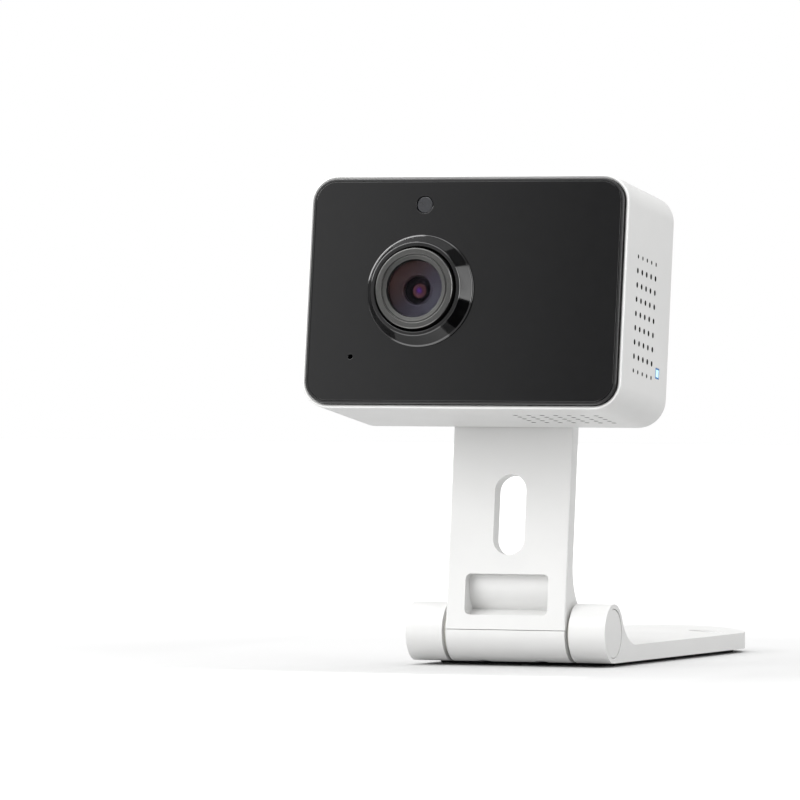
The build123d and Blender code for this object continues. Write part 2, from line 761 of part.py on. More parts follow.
with BuildPart() as foot:
    with BuildSketch(facing(foot_frame, 0)):
        with BuildLine():
            Polyline((-foot_half, foot_top), (-foot_half, foot_bottom), (foot_half, foot_bottom))
            Line((foot_half, foot_bottom), (foot_half, foot_top))
            ThreePointArc((foot_half, foot_top), (0, foot_top + foot_crown), (-foot_half, foot_top))
        make_face()
    extrude(amount=-(foot_reach + foot_half))
    with BuildSketch(foot_frame.offset(foot_bottom)):
        foot_outline(0, 0)
    extrude(amount=2 * hinge_r, mode=Mode.INTERSECT)
    for knuckle_x in (-foot_half, knuckle_in):
        with BuildSketch(beside(foot_frame, knuckle_x)):
            Circle(hinge_r)
            outline = flare_profile(foot_top, False)
            with BuildLine():
                Polyline(*outline)
                RadiusArc(outline[-1], outline[0], -flare_r)
            make_face()
        extrude(amount=foot_half - knuckle_in)
    # Bay between the knuckles, with room for the arm's barrel to turn.
    with BuildSketch(beside(foot_frame, -knuckle_in)):
        Circle(bay_r)
    extrude(amount=2 * knuckle_in, mode=Mode.SUBTRACT)
    # Hollow underneath for the ballast plate and the pad.
    with BuildSketch(foot_frame.offset(foot_bottom)):
        foot_outline(pad_front, pad_rim)
    extrude(amount=foot_edge - foot_skin, mode=Mode.SUBTRACT)
    # Pin bore, wells for its head and nut, and seats for the end caps.
    with BuildSketch(beside(foot_frame, -foot_half)):
        Circle(pin_r + 0.02)
    extrude(amount=2 * foot_half, mode=Mode.SUBTRACT)
    for end_x, way in ((-foot_half, 1), (foot_half, -1)):
        with BuildSketch(beside(foot_frame, end_x)):
            Circle(cap_r)
        extrude(amount=way * cap_deep, mode=Mode.SUBTRACT)
        with BuildSketch(beside(foot_frame, end_x)):
            Circle(well_r)
        extrude(amount=way * (foot_half - well_floor), mode=Mode.SUBTRACT)
    # Holes for wall screws, with shallow seats for their heads.
    with BuildSketch(foot_frame.offset(foot_bottom)):
        with Locations((-wall_hole_x, wall_hole_y), (wall_hole_x, wall_hole_y)):
            Circle(wall_hole_r)
    extrude(amount=hinge_r, mode=Mode.SUBTRACT)
    with BuildSketch(foot_frame.offset(foot_top + foot_crown)):
        with Locations((-wall_hole_x, wall_hole_y), (wall_hole_x, wall_hole_y)):
            Circle(wall_head_r)
    extrude(amount=-foot_crown - 0.3, mode=Mode.SUBTRACT)

with BuildPart() as ballast_plate:
    with BuildSketch(foot_frame.offset(ballast_top)):
        foot_outline(pad_front + 0.2, pad_rim + 0.2)
        with Locations((-wall_hole_x, wall_hole_y), (wall_hole_x, wall_hole_y)):
            Circle(wall_hole_r, mode=Mode.SUBTRACT)
    extrude(amount=-ballast_thick)

with BuildPart() as foot_pad:
    with BuildSketch(foot_frame.offset(-hinge_z)):
        foot_outline(pad_front + 0.1, pad_rim + 0.1)
        with Locations((-wall_hole_x, wall_hole_y), (wall_hole_x, wall_hole_y)):
            Circle(wall_hole_r, mode=Mode.SUBTRACT)
    extrude(amount=pad_thick)
    fillet(foot_pad.faces().sort_by(Axis.Z)[0].outer_wire().edges(), radius=0.3)

# ---- Base hinge ----

with BuildPart() as base_hinge_pin:
    with BuildSketch(beside(foot_frame, -18.6)):
        Circle(pin_r)
    extrude(amount=18.6 + well_floor)
    with BuildSketch(beside(foot_frame, well_floor)):
        Circle(3.4)
    extrude(amount=1.9)

with BuildPart() as base_disc_springs:
    with BuildSketch(beside(foot_frame, -well_floor - 0.7)):
        Circle(3.5)
        Circle(pin_r + 0.1, mode=Mode.SUBTRACT)
    extrude(amount=0.7)

with BuildPart() as base_hinge_nut:
    with BuildSketch(beside(foot_frame, -well_floor - 2.3)):
        RegularPolygon(3.4, 6)
        Circle(pin_r + 0.03, mode=Mode.SUBTRACT)
    extrude(amount=1.6)

washer_thick = 0.62
with BuildPart() as base_friction_washers:
    for washer_x in (-knuckle_in, knuckle_in - washer_thick):
        with BuildSketch(beside(foot_frame, washer_x)):
            Circle(4.6)
            Circle(pin_r + running_gap, mode=Mode.SUBTRACT)
        extrude(amount=washer_thick)

with BuildPart() as end_cap_right:
    with BuildSketch(beside(foot_frame, foot_half - cap_deep)):
        Circle(cap_r - 0.1)
    extrude(amount=cap_deep - 0.05)
    fillet(end_cap_right.faces().sort_by(Axis.X)[-1].edges(), radius=0.2)

with BuildPart() as end_cap_left:
    with BuildSketch(beside(foot_frame, -foot_half + 0.05)):
        Circle(cap_r - 0.1)
    extrude(amount=cap_deep - 0.05)
    fillet(end_cap_left.faces().sort_by(Axis.X)[0].edges(), radius=0.2)

# ---- Names and files ----

housing.part.label = "housing"
export_step(housing.part, "parts/housing.step")
vent_foam.part.label = "vent_foam"
export_step(vent_foam.part, "parts/vent_foam.step")
front_bezel.part.label = "front_bezel"
export_step(front_bezel.part, "parts/front_bezel.step")
cover_panel.part.label = "cover_panel"
export_step(cover_panel.part, "parts/cover_panel.step")
rear_cover.part.label = "rear_cover"
export_step(rear_cover.part, "parts/rear_cover.step")
lens_trim_ring.part.label = "lens_trim_ring"
export_step(lens_trim_ring.part, "parts/lens_trim_ring.step")
lens_barrel.part.label = "lens_barrel"
export_step(lens_barrel.part, "parts/lens_barrel.step")
lens_front_element.part.label = "lens_front_element"
export_step(lens_front_element.part, "parts/lens_front_element.step")
lens_spacer.part.label = "lens_spacer"
export_step(lens_spacer.part, "parts/lens_spacer.step")
aperture_stop.part.label = "aperture_stop"
export_step(aperture_stop.part, "parts/aperture_stop.step")
lens_second_element.part.label = "lens_second_element"
export_step(lens_second_element.part, "parts/lens_second_element.step")
lens_holder.part.label = "lens_holder"
export_step(lens_holder.part, "parts/lens_holder.step")
ir_cut_filter.part.label = "ir_cut_filter"
export_step(ir_cut_filter.part, "parts/ir_cut_filter.step")
image_sensor.part.label = "image_sensor"
export_step(image_sensor.part, "parts/image_sensor.step")
sensor_board.part.label = "sensor_board"
export_step(sensor_board.part, "parts/sensor_board.step")
light_sensor_window.part.label = "light_sensor_window"
export_step(light_sensor_window.part, "parts/light_sensor_window.step")
light_sensor.part.label = "light_sensor"
export_step(light_sensor.part, "parts/light_sensor.step")
microphone.part.label = "microphone"
export_step(microphone.part, "parts/microphone.step")
microphone_boot.part.label = "microphone_boot"
export_step(microphone_boot.part, "parts/microphone_boot.step")
ir_leds.part.label = "ir_leds"
export_step(ir_leds.part, "parts/ir_leds.step")
main_board.part.label = "main_board"
export_step(main_board.part, "parts/main_board.step")
processor.part.label = "processor"
export_step(processor.part, "parts/processor.step")
thermal_pad.part.label = "thermal_pad"
export_step(thermal_pad.part, "parts/thermal_pad.step")
shield_can.part.label = "shield_can"
export_step(shield_can.part, "parts/shield_can.step")
flex_connectors.part.label = "flex_connectors"
export_step(flex_connectors.part, "parts/flex_connectors.step")
flex_cable.part.label = "flex_cable"
export_step(flex_cable.part, "parts/flex_cable.step")
usb_socket.part.label = "usb_socket"
export_step(usb_socket.part, "parts/usb_socket.step")
status_led.part.label = "status_led"
export_step(status_led.part, "parts/status_led.step")
light_pipe.part.label = "light_pipe"
export_step(light_pipe.part, "parts/light_pipe.step")
antenna.part.label = "antenna"
export_step(antenna.part, "parts/antenna.step")
reset_switch.part.label = "reset_switch"
export_step(reset_switch.part, "parts/reset_switch.step")
reset_button.part.label = "reset_button"
export_step(reset_button.part, "parts/reset_button.step")
speaker_gasket.part.label = "speaker_gasket"
export_step(speaker_gasket.part, "parts/speaker_gasket.step")
speaker_foam.part.label = "speaker_foam"
export_step(speaker_foam.part, "parts/speaker_foam.step")
speaker_frame.part.label = "speaker_frame"
export_step(speaker_frame.part, "parts/speaker_frame.step")
speaker_cone.part.label = "speaker_cone"
export_step(speaker_cone.part, "parts/speaker_cone.step")
speaker_magnet.part.label = "speaker_magnet"
export_step(speaker_magnet.part, "parts/speaker_magnet.step")
rear_cover_screws.part.label = "rear_cover_screws"
export_step(rear_cover_screws.part, "parts/rear_cover_screws.step")
sensor_board_screws.part.label = "sensor_board_screws"
export_step(sensor_board_screws.part, "parts/sensor_board_screws.step")
main_board_screws.part.label = "main_board_screws"
export_step(main_board_screws.part, "parts/main_board_screws.step")
tilt_pin.part.label = "tilt_pin"
export_step(tilt_pin.part, "parts/tilt_pin.step")
tilt_washers.part.label = "tilt_washers"
export_step(tilt_washers.part, "parts/tilt_washers.step")
arm.part.label = "arm"
export_step(arm.part, "parts/arm.step")
barrel_cover.part.label = "barrel_cover"
export_step(barrel_cover.part, "parts/barrel_cover.step")
barrel_cover_screws.part.label = "barrel_cover_screws"
export_step(barrel_cover_screws.part, "parts/barrel_cover_screws.step")
base_bushes.part.label = "base_bushes"
export_step(base_bushes.part, "parts/base_bushes.step")
foot.part.label = "foot"
export_step(foot.part, "parts/foot.step")
ballast_plate.part.label = "ballast_plate"
export_step(ballast_plate.part, "parts/ballast_plate.step")
foot_pad.part.label = "foot_pad"
export_step(foot_pad.part, "parts/foot_pad.step")
base_hinge_pin.part.label = "base_hinge_pin"
export_step(base_hinge_pin.part, "parts/base_hinge_pin.step")
base_disc_springs.part.label = "base_disc_springs"
export_step(base_disc_springs.part, "parts/base_disc_springs.step")
base_hinge_nut.part.label = "base_hinge_nut"
export_step(base_hinge_nut.part, "parts/base_hinge_nut.step")
base_friction_washers.part.label = "base_friction_washers"
export_step(base_friction_washers.part, "parts/base_friction_washers.step")
end_cap_right.part.label = "end_cap_right"
export_step(end_cap_right.part, "parts/end_cap_right.step")
end_cap_left.part.label = "end_cap_left"
export_step(end_cap_left.part, "parts/end_cap_left.step")
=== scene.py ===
from math import cos, pi, radians, sin

import bmesh
import bpy
from mathutils import Matrix, Vector


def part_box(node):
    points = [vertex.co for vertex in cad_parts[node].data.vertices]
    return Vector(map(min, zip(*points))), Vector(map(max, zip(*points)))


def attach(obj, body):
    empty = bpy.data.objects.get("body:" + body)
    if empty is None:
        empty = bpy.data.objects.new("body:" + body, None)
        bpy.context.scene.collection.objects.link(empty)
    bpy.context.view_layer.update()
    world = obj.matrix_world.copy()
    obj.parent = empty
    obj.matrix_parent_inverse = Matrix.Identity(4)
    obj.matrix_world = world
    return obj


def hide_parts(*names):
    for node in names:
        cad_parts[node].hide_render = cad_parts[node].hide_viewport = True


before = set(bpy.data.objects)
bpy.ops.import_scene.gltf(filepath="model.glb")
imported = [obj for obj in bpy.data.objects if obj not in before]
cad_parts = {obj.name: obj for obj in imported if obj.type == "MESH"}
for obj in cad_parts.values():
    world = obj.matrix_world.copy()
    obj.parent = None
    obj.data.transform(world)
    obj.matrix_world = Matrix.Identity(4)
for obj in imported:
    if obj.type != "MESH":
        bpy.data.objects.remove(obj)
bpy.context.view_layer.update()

mm = 0.001
scene = bpy.context.scene

# ---- Viewing camera ----
# A long lens a metre and a half in front of the object, a little to its left hand, level with its head.
# Its own axes are worked out from its heading, its rise above the horizon and its roll.
heading, rise, roll = radians(20.006), radians(0.249), radians(0.257)
back = Vector((sin(heading) * cos(rise), -cos(heading) * cos(rise), sin(rise)))
level = Vector((cos(heading), sin(heading), 0))
above = back.cross(level)
across = cos(roll) * level + sin(roll) * above
upward = cos(roll) * above - sin(roll) * level
viewer = bpy.data.objects.new("viewer", bpy.data.cameras.new("viewer"))
viewer.data.lens = 331.1
viewer.data.sensor_width = 36
viewer_place = Vector((479.8, -1440.28, 59.2)) * mm
viewer_axes = Matrix((across, upward, back)).transposed()
viewer.matrix_world = Matrix.Translation(viewer_place) @ viewer_axes.to_4x4()
scene.collection.objects.link(viewer)
scene.camera = viewer
scene.view_settings.view_transform = "Standard"


# ---- Studio ----
# A pale matt floor under a soft white dome that is brightest overhead. A high softbox and a low one stand
# at the front left, and a weaker one at the right. Cards round the object show only in its glossy surfaces.
def node(tree, kind, inputs=None, **settings):
    """Adds one node with its settings, and fills its inputs with values or links."""
    made = tree.nodes.new(kind)
    for name, value in settings.items():
        setattr(made, name, value)
    for name, value in (inputs or {}).items():
        if isinstance(value, bpy.types.NodeSocket):
            tree.links.new(value, made.inputs[name])
        else:
            made.inputs[name].default_value = value
    return made


def colour(code, alpha=1.0):
    """Linear colour of an sRGB hex code."""
    parts = [int(code[i:i + 2], 16) / 255 for i in (0, 2, 4)]
    return [p / 12.92 if p <= 0.04045 else ((p + 0.055) / 1.055) ** 2.4 for p in parts] + [alpha]


def finish_named(name):
    """A new material, its tree, its shader's inputs and the object's own coordinates."""
    made = bpy.data.materials.new(name)
    made.use_nodes = True
    tree = made.node_tree
    where = node(tree, "ShaderNodeTexCoord").outputs["Object"]
    return made, tree, tree.nodes["Principled BSDF"].inputs, where


def tone_between(tree, shader, share, dark, light):
    """Colours a finish from dark to light by a pattern's value. Returns the ramp."""
    ramp = node(tree, "ShaderNodeValToRGB", {"Fac": share})
    ramp.color_ramp.elements[0].color = colour(dark)
    ramp.color_ramp.elements[1].color = colour(light)
    tree.links.new(ramp.outputs["Color"], shader["Base Color"])
    return ramp


def raise_grain(tree, shader, pattern, strength, depth):
    """Gives a finish the relief of a pattern, of a depth in metres."""
    bumps = node(tree, "ShaderNodeBump", {"Height": pattern, "Strength": strength, "Distance": depth})
    tree.links.new(bumps.outputs["Normal"], shader["Normal"])


zenith = 2.2
mirrored = 0.6
world = bpy.data.worlds.new("studio")
world.use_nodes = True
scene.world = world
sky = world.node_tree
ray = node(sky, "ShaderNodeLightPath").outputs
direction = node(sky, "ShaderNodeTexCoord").outputs["Generated"]
height = node(sky, "ShaderNodeSeparateXYZ", {"Vector": direction}).outputs["Z"]
dome = node(sky, "ShaderNodeMapRange", {"Value": height, "To Min": 0.0, "To Max": zenith})
dome_light = dome.outputs["Result"]
plain = node(sky, "ShaderNodeBackground", {"Color": colour("ffffff"), "Strength": dome_light}).outputs[0]
dim = node(sky, "ShaderNodeBackground", {"Color": colour("ffffff"), "Strength": mirrored}).outputs[0]
white = node(sky, "ShaderNodeBackground", {"Color": colour("ffffff"), "Strength": 1.0}).outputs[0]
lit = node(sky, "ShaderNodeMixShader", {0: ray["Is Glossy Ray"], 1: plain, 2: dim}).outputs[0]
seen = node(sky, "ShaderNodeMixShader", {0: ray["Is Camera Ray"], 1: lit, 2: white}).outputs[0]
sky.links.new(seen, sky.nodes["World Output"].inputs["Surface"])


def softbox(name, place, wide, high, strength):
    """A rectangular light at a place, facing the object, its strength given as radiance."""
    lamp = bpy.data.lights.new(name, "AREA")
    lamp.shape = "RECTANGLE"
    lamp.size, lamp.size_y = wide, high
    lamp.energy = strength * wide * high * pi
    made = bpy.data.objects.new(name, lamp)
    made.location = place
    made.rotation_euler = (Vector(target) - Vector(place)).to_track_quat("-Z", "Y").to_euler()
    made.visible_camera = False
    made.visible_glossy = False
    scene.collection.objects.link(made)


target = (0, -0.04, 0.05)
softbox("right_side", (1.3, -0.5, 0.5), 0.8, 0.8, 1.7)
softbox("front", (-0.85, -1.05, 0.55), 1.0, 0.6, 5.0)
softbox("low_front", (-0.5, -1.1, 0.1), 0.8, 0.16, 7.0)

# Floor: painted board, matt, with a very faint mottle. Its colour is darker near the object and pales away from
# it, a painted shade round the object. The camera sees this colour, while the light the floor bounces takes a
# plain grey.
paint, tree, shader, where = finish_named("matt_white_painted_board")
mottle = node(tree, "ShaderNodeTexNoise", {"Vector": where, "Scale": 6.0, "Detail": 3.0}).outputs["Fac"]
tone = node(tree, "ShaderNodeValToRGB", {"Fac": mottle})
tone.color_ramp.elements[0].color = colour("cacaca")
tone.color_ramp.elements[1].color = colour("cdcdcd")
# Painted shade: the floor's colour darkens towards the object.
reach = node(tree, "ShaderNodeVectorMath", {0: where}, operation="LENGTH").outputs["Value"]
away = node(tree, "ShaderNodeMapRange", {"Value": reach, "From Min": 0.1, "From Max": 0.5}).outputs["Result"]
faraway = colour("fcfcfc")
floor_with_painted_shade = node(tree, "ShaderNodeMix", {"Factor": away, 6: tone.outputs["Color"], 7: faraway}, data_type="RGBA")
looked_at = node(tree, "ShaderNodeLightPath").outputs["Is Camera Ray"]
bounced = colour("bcbcbc")
shade = node(tree, "ShaderNodeMix", {"Factor": looked_at, 6: bounced, 7: floor_with_painted_shade.outputs[2]}, data_type="RGBA")
tree.links.new(shade.outputs[2], shader["Base Color"])
shader["Roughness"].default_value = 0.9
shader["Specular IOR Level"].default_value = 0.1
shape = bmesh.new()
bmesh.ops.create_grid(shape, x_segments=4, y_segments=4, size=4.0)
floor_drop = 0.02 * mm
bmesh.ops.translate(shape, verts=shape.verts, vec=(0, 0, -floor_drop))
floor_mesh = bpy.data.meshes.new("floor")
shape.to_mesh(floor_mesh)
shape.free()
floor_mesh.materials.append(paint)
floor = bpy.data.objects.new("floor", floor_mesh)
scene.collection.objects.link(floor)


def card(name, middle, wide, high, facing, light, graded=None):
    """A flat card that shows only in glossy surfaces, level or facing a direction.

    A graded card's light changes along X between two places, to a last value.
    """
    made = bmesh.new()
    bmesh.ops.create_grid(made, x_segments=1, y_segments=1, size=0.5)
    bmesh.ops.scale(made, verts=made.verts, vec=(wide, high, 1))
    if facing:
        bmesh.ops.rotate(made, verts=made.verts, matrix=Vector(facing).to_track_quat("Z", "Y").to_matrix())
    bmesh.ops.translate(made, verts=made.verts, vec=middle)
    mesh = bpy.data.meshes.new(name)
    made.to_mesh(mesh)
    made.free()
    glow = bpy.data.materials.new(name + "_glow")
    glow.use_nodes = True
    tree = glow.node_tree
    tree.nodes.remove(tree.nodes["Principled BSDF"])
    if graded:
        where = node(tree, "ShaderNodeTexCoord").outputs["Object"]
        along = node(tree, "ShaderNodeSeparateXYZ", {"Vector": where}).outputs["X"]
        start, stop, last = graded
        fade = {"Value": along, "From Min": start, "From Max": stop, "To Min": light, "To Max": last}
        light = node(tree, "ShaderNodeMapRange", fade).outputs["Result"]
    lamp = node(tree, "ShaderNodeEmission", {"Color": colour("ffffff"), "Strength": light}).outputs[0]
    tree.links.new(lamp, tree.nodes["Material Output"].inputs["Surface"])
    mesh.materials.append(glow)
    piece = bpy.data.objects.new(name, mesh)
    piece.visible_camera = piece.visible_diffuse = piece.visible_shadow = piece.visible_transmission = False
    scene.collection.objects.link(piece)


# The black panel mirrors the front card, bright at its left. The lens ring mirrors lit cards above it, below it
# and at its right, with black ones between them, and the bright card at the left draws its fine arcs.
on_floor = 0.5 * mm
card("front_card", (-0.45, -1.0, 0.42), 0.8, 0.9, (0, 1, 0), 1.2, graded=(-0.43, -0.29, 0.36))
card("ring_card", (0.15, -0.14, 0.1445), 0.06, 0.173, (-1, 0, 0), 10.0)
card("top_card", (-0.17, -0.44, 0.5), 0.56, 0.52, None, 4.5)
card("floor_card", (-0.035, -0.145, on_floor), 0.13, 0.09, None, 4.0)
card("ring_black_above", (0.15, -0.01, 0.30), 0.24, 0.13, (-1, 0, 0), 0.0)
card("ring_black_below", (0.15, -0.03, 0.0295), 0.24, 0.057, (-1, 0, 0), 0.0)
card("ring_black_floor", (0.102, -0.07, on_floor), 0.097, 0.12, None, 0.0)
card("left_black_floor", (-0.17, 0.05, on_floor), 0.16, 0.14, None, 0.0)
card("left_bright_card", (-0.52, -0.2, 0.6), 0.35, 0.8, (0.75, 0.15, -0.65), 11.0)


# ---- White shell of the head ----
# An injection-moulded ABS tube, open at the front for the black panel and at the back for its cover.
# One wall is drilled with a patch of vent holes, another with the speaker's holes.
weld = 0.001 * mm


def copy_of(name):
    """A bmesh of a CAD node, its loose triangles joined and its flat faces made whole."""
    made = bmesh.new()
    made.from_mesh(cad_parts[name].data)
    bmesh.ops.remove_doubles(made, verts=made.verts, dist=weld)
    bmesh.ops.dissolve_limit(made, angle_limit=radians(0.2), verts=made.verts, edges=made.edges)
    return made


def piece_from(made, name, *finishes):
    """An object from a bmesh, smooth except over its sharp edges."""
    mesh = bpy.data.meshes.new(name)
    made.to_mesh(mesh)
    made.free()
    for finish in finishes:
        mesh.materials.append(finish)
    mesh.shade_smooth()
    mesh.set_sharp_from_angle(angle=radians(35))
    piece = bpy.data.objects.new(name, mesh)
    scene.collection.objects.link(piece)
    return piece


def soften(piece, width, segments=3):
    """Rounds a piece's sharp edges and shades its flat faces flat."""
    edge = piece.modifiers.new("soft_edges", "BEVEL")
    edge.width = width
    edge.segments = segments
    edge.limit_method = "ANGLE"
    edge.angle_limit = radians(38)
    edge.use_clamp_overlap = True
    edge.miter_outer = "MITER_ARC"
    piece.modifiers.new("even_shading", "WEIGHTED_NORMAL").keep_sharp = True


# ABS with a fine spark-eroded tool finish: satin white, its grain of a quarter millimetre is drawn at 0.4 mm.
white_abs, tree, shader, where = finish_named("satin_white_moulded_abs")
grain = node(tree, "ShaderNodeTexNoise", {"Vector": where, "Scale": 2500.0, "Detail": 2.0}).outputs["Fac"]
flow = node(tree, "ShaderNodeTexNoise", {"Vector": where, "Scale": 60.0, "Detail": 3.0}).outputs["Fac"]
tone = tone_between(tree, shader, flow, "d3d3d2", "d7d7d6")
tone.color_ramp.elements[0].position = 0.3
tone.color_ramp.elements[1].position = 0.7
gloss = node(tree, "ShaderNodeMapRange", {"Value": grain, "To Min": 0.36, "To Max": 0.46}).outputs["Result"]
tree.links.new(gloss, shader["Roughness"])
raise_grain(tree, shader, grain, 0.25, 0.004 * mm)
shader["IOR"].default_value = 1.53

shell = piece_from(copy_of("housing"), "shell", white_abs)
soften(shell, 0.06 * mm, 2)
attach(shell, "head")
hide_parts("housing")

# ---- Black bezel ----
# A black ABS tray that sits in the shell's mouth and holds the glossy panel.
# Its rim shows as a thin dark line round the panel.
black_abs, tree, shader, where = finish_named("fine_grained_black_abs")
grain = node(tree, "ShaderNodeTexNoise", {"Vector": where, "Scale": 3000.0, "Detail": 2.0}).outputs["Fac"]
tone_between(tree, shader, grain, "0b0b0c", "161617")
raise_grain(tree, shader, grain, 0.3, 0.004 * mm)
shader["Roughness"].default_value = 0.3
shader["IOR"].default_value = 1.53

bezel = piece_from(copy_of("front_bezel"), "bezel", black_abs)
soften(bezel, 0.06 * mm, 2)
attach(bezel, "head")
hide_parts("front_bezel")

# ---- Glossy panel ----
# A sheet of clear acrylic, painted black on its back, so its face is a dark mirror.
# Its edges are polished, and it has holes for the lens, the light sensor and the microphone.
acrylic, tree, shader, where = finish_named("back_painted_black_acrylic")
waves = node(tree, "ShaderNodeTexNoise", {"Vector": where, "Scale": 90.0, "Detail": 1.0}).outputs["Fac"]
haze = node(tree, "ShaderNodeTexNoise", {"Vector": where, "Scale": 400.0, "Detail": 3.0}).outputs["Fac"]
tone_between(tree, shader, haze, "0a0a0b", "0f0f10")
gloss = node(tree, "ShaderNodeMapRange", {"Value": haze, "To Min": 0.03, "To Max": 0.07}).outputs["Result"]
tree.links.new(gloss, shader["Roughness"])
raise_grain(tree, shader, waves, 0.15, 0.003 * mm)
shader["IOR"].default_value = 1.49

panel = piece_from(copy_of("cover_panel"), "panel", acrylic)
soften(panel, 0.15 * mm, 3)
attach(panel, "head")
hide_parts("cover_panel")

# ---- Lens trim ring ----
# A turned-looking ring moulded in black ABS and polished: a steep cone with a narrow flat lip.
# Its foot spreads a little over the panel round the lens opening.
head_tilt = radians(7.5)
panel_thick = 1.1 * mm
panel_low, panel_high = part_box("cover_panel")
head_turn = Matrix.Rotation(-head_tilt, 4, "X")
head_origin = (panel_low + panel_high) / 2 - head_turn @ Vector((0, panel_thick / 2, 0))
lens_low, lens_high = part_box("lens_trim_ring")
lens_offset = Matrix.Translation(((lens_low.x + lens_high.x) / 2, 0, 0))
lens_place = Matrix.Translation(head_origin) @ head_turn @ lens_offset
lens_back = lens_place.inverted()
lens_steps = 128


def turned(points, closed=True):
    """A body of revolution about the lens axis.

    Its points are (radius, depth behind the panel's face) in millimetres.
    """
    made = bmesh.new()
    rim = [made.verts.new((r * mm, d * mm, 0)) for r, d in points]
    lines = [made.edges.new(pair) for pair in zip(rim, rim[1:] + rim[:1] if closed else rim[1:])]
    bmesh.ops.spin(
        made, geom=rim + lines, axis=(0, 1, 0), cent=(0, 0, 0), angle=2 * pi, steps=lens_steps, use_merge=True)
    bmesh.ops.remove_doubles(made, verts=made.verts, dist=weld / 2)
    bmesh.ops.recalc_face_normals(made, faces=made.faces)
    bmesh.ops.transform(made, matrix=lens_place, verts=made.verts)
    return made


polished_abs, tree, shader, where = finish_named("polished_black_abs")
smears = node(tree, "ShaderNodeTexNoise", {"Vector": where, "Scale": 500.0, "Detail": 3.0}).outputs["Fac"]
tone_between(tree, shader, smears, "050506", "0a0a0b")
gloss = node(tree, "ShaderNodeMapRange", {"Value": smears, "To Min": 0.07, "To Max": 0.13}).outputs["Result"]
tree.links.new(gloss, shader["Roughness"])
shader["IOR"].default_value = 1.53

ring = piece_from(turned([
    (8.35, 2.2), (8.35, -3.1), (8.55, -3.3), (9.15, -3.3), (9.4, -3.1), (10.7, -0.62), (10.85, -0.45),
    (11.08, -0.35), (11.1, 0), (9.9, 0), (9.9, 2.2)]), "trim_ring", polished_abs)
soften(ring, 0.09 * mm, 3)
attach(ring, "head")
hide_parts("lens_trim_ring")

# ---- Lens barrel ----
# Aluminium turned on a lathe and anodised black: satin dark grey, with the tool's fine rings on its face.
# The tool's rings are a tenth of a millimetre apart, drawn as ripples 2.2 mm apart so that they show.
def about_lens(tree, where):
    """Coordinates with the lens axis as their Y axis."""
    moved = {"Vector": where, "Location": lens_back.to_translation(), "Rotation": lens_back.to_euler()}
    return node(tree, "ShaderNodeMapping", moved).outputs["Vector"]


anodised, tree, shader, where = finish_named("black_anodised_turned_aluminium")
centred = about_lens(tree, where)
lathe_marks = {"Vector": centred, "Scale": 140.0, "Distortion": 0.4}
rings = node(tree, "ShaderNodeTexWave", lathe_marks, wave_type="RINGS", rings_direction="Y").outputs["Fac"]
speckle = node(tree, "ShaderNodeTexNoise", {"Vector": where, "Scale": 2500.0, "Detail": 2.0}).outputs["Fac"]
tone_between(tree, shader, speckle, "4c4c4b", "5b5b5a")
raise_grain(tree, shader, rings, 0.3, 0.006 * mm)
shader["Metallic"].default_value = 1.0
shader["Roughness"].default_value = 0.34

# The bore and the aperture stop are painted with a matt black that swallows stray light.
stray_black, tree, shader, where = finish_named("matt_black_bore_paint")
dust = node(tree, "ShaderNodeTexNoise", {"Vector": where, "Scale": 2000.0, "Detail": 2.0}).outputs["Fac"]
tone_between(tree, shader, dust, "040405", "0d0c0d")
shader["Roughness"].default_value = 0.9
shader["Specular IOR Level"].default_value = 0.1

bore_r = 5.65
made = turned([
    (bore_r, -3.5), (5.74, -3.82), (6.4, -3.88), (6.5, -3.9), (6.6, -3.75), (6.75, -3.75), (6.85, -4.07),
    (7.8, -4.07), (7.98, -3.9), (7.98, 2.2), (6.0, 2.2), (6.0, 8.8), (4.5, 8.8), (4.5, 1.0), (bore_r, 1.0)])
for face in made.faces:
    spot = lens_back @ face.calc_center_median()
    face.material_index = int(Vector((spot.x, spot.z)).length < (bore_r + 0.05) * mm)
barrel = piece_from(made, "barrel", anodised, stray_black)
soften(barrel, 0.07 * mm, 3)
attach(barrel, "head")
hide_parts("lens_barrel")

# ---- Spacer inside the barrel ----
# A ring in blackened brass that holds the front element in place, seen through its coloured coat.
# Its colour is a painted reflection of the coated glass: red-brown at the upper left to blue-grey at the lower
# right.
brass_with_painted_reflection, tree, shader, where = finish_named("blackened_brass_painted_reflection")
centred = about_lens(tree, where)
down_right = (0.75, 0.0, -0.66)
painted_reflection_reach = 5.2 * mm
# Painted reflection: the ring's colour slides from the upper left to the lower right across the lens.
slant = node(tree, "ShaderNodeVectorMath", {0: centred, 1: down_right}, operation="DOT_PRODUCT").outputs["Value"]
painted_reflection_slope = node(tree, "ShaderNodeMapRange", {
    "Value": slant, "From Min": -painted_reflection_reach, "From Max": painted_reflection_reach}).outputs["Result"]
speckle = node(tree, "ShaderNodeTexNoise", {"Vector": where, "Scale": 2500.0, "Detail": 2.0}).outputs["Fac"]
speckle_share = 0.06
mixed = node(tree, "ShaderNodeMath", {0: speckle, 1: speckle_share, 2: painted_reflection_slope}, operation="MULTIPLY_ADD").outputs[0]
tone = tone_between(tree, shader, mixed, "3a1a0e", "3b3c44")
tone.color_ramp.elements.new(0.35).color = colour("33211f")
tone.color_ramp.elements.new(0.6).color = colour("353038")
shader["Roughness"].default_value = 0.5
shader["Specular IOR Level"].default_value = 0.25

front_r = 5.6
spacer = piece_from(turned([
    (2.75, 1.0), (2.75, -1.4), (2.95, -1.52), (3.15, -1.4), (5.2, -1.85), (front_r, -1.9), (front_r, 1.0)]),
    "spacer", brass_with_painted_reflection)
soften(spacer, 0.05 * mm, 2)
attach(spacer, "head")
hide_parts("lens_spacer")


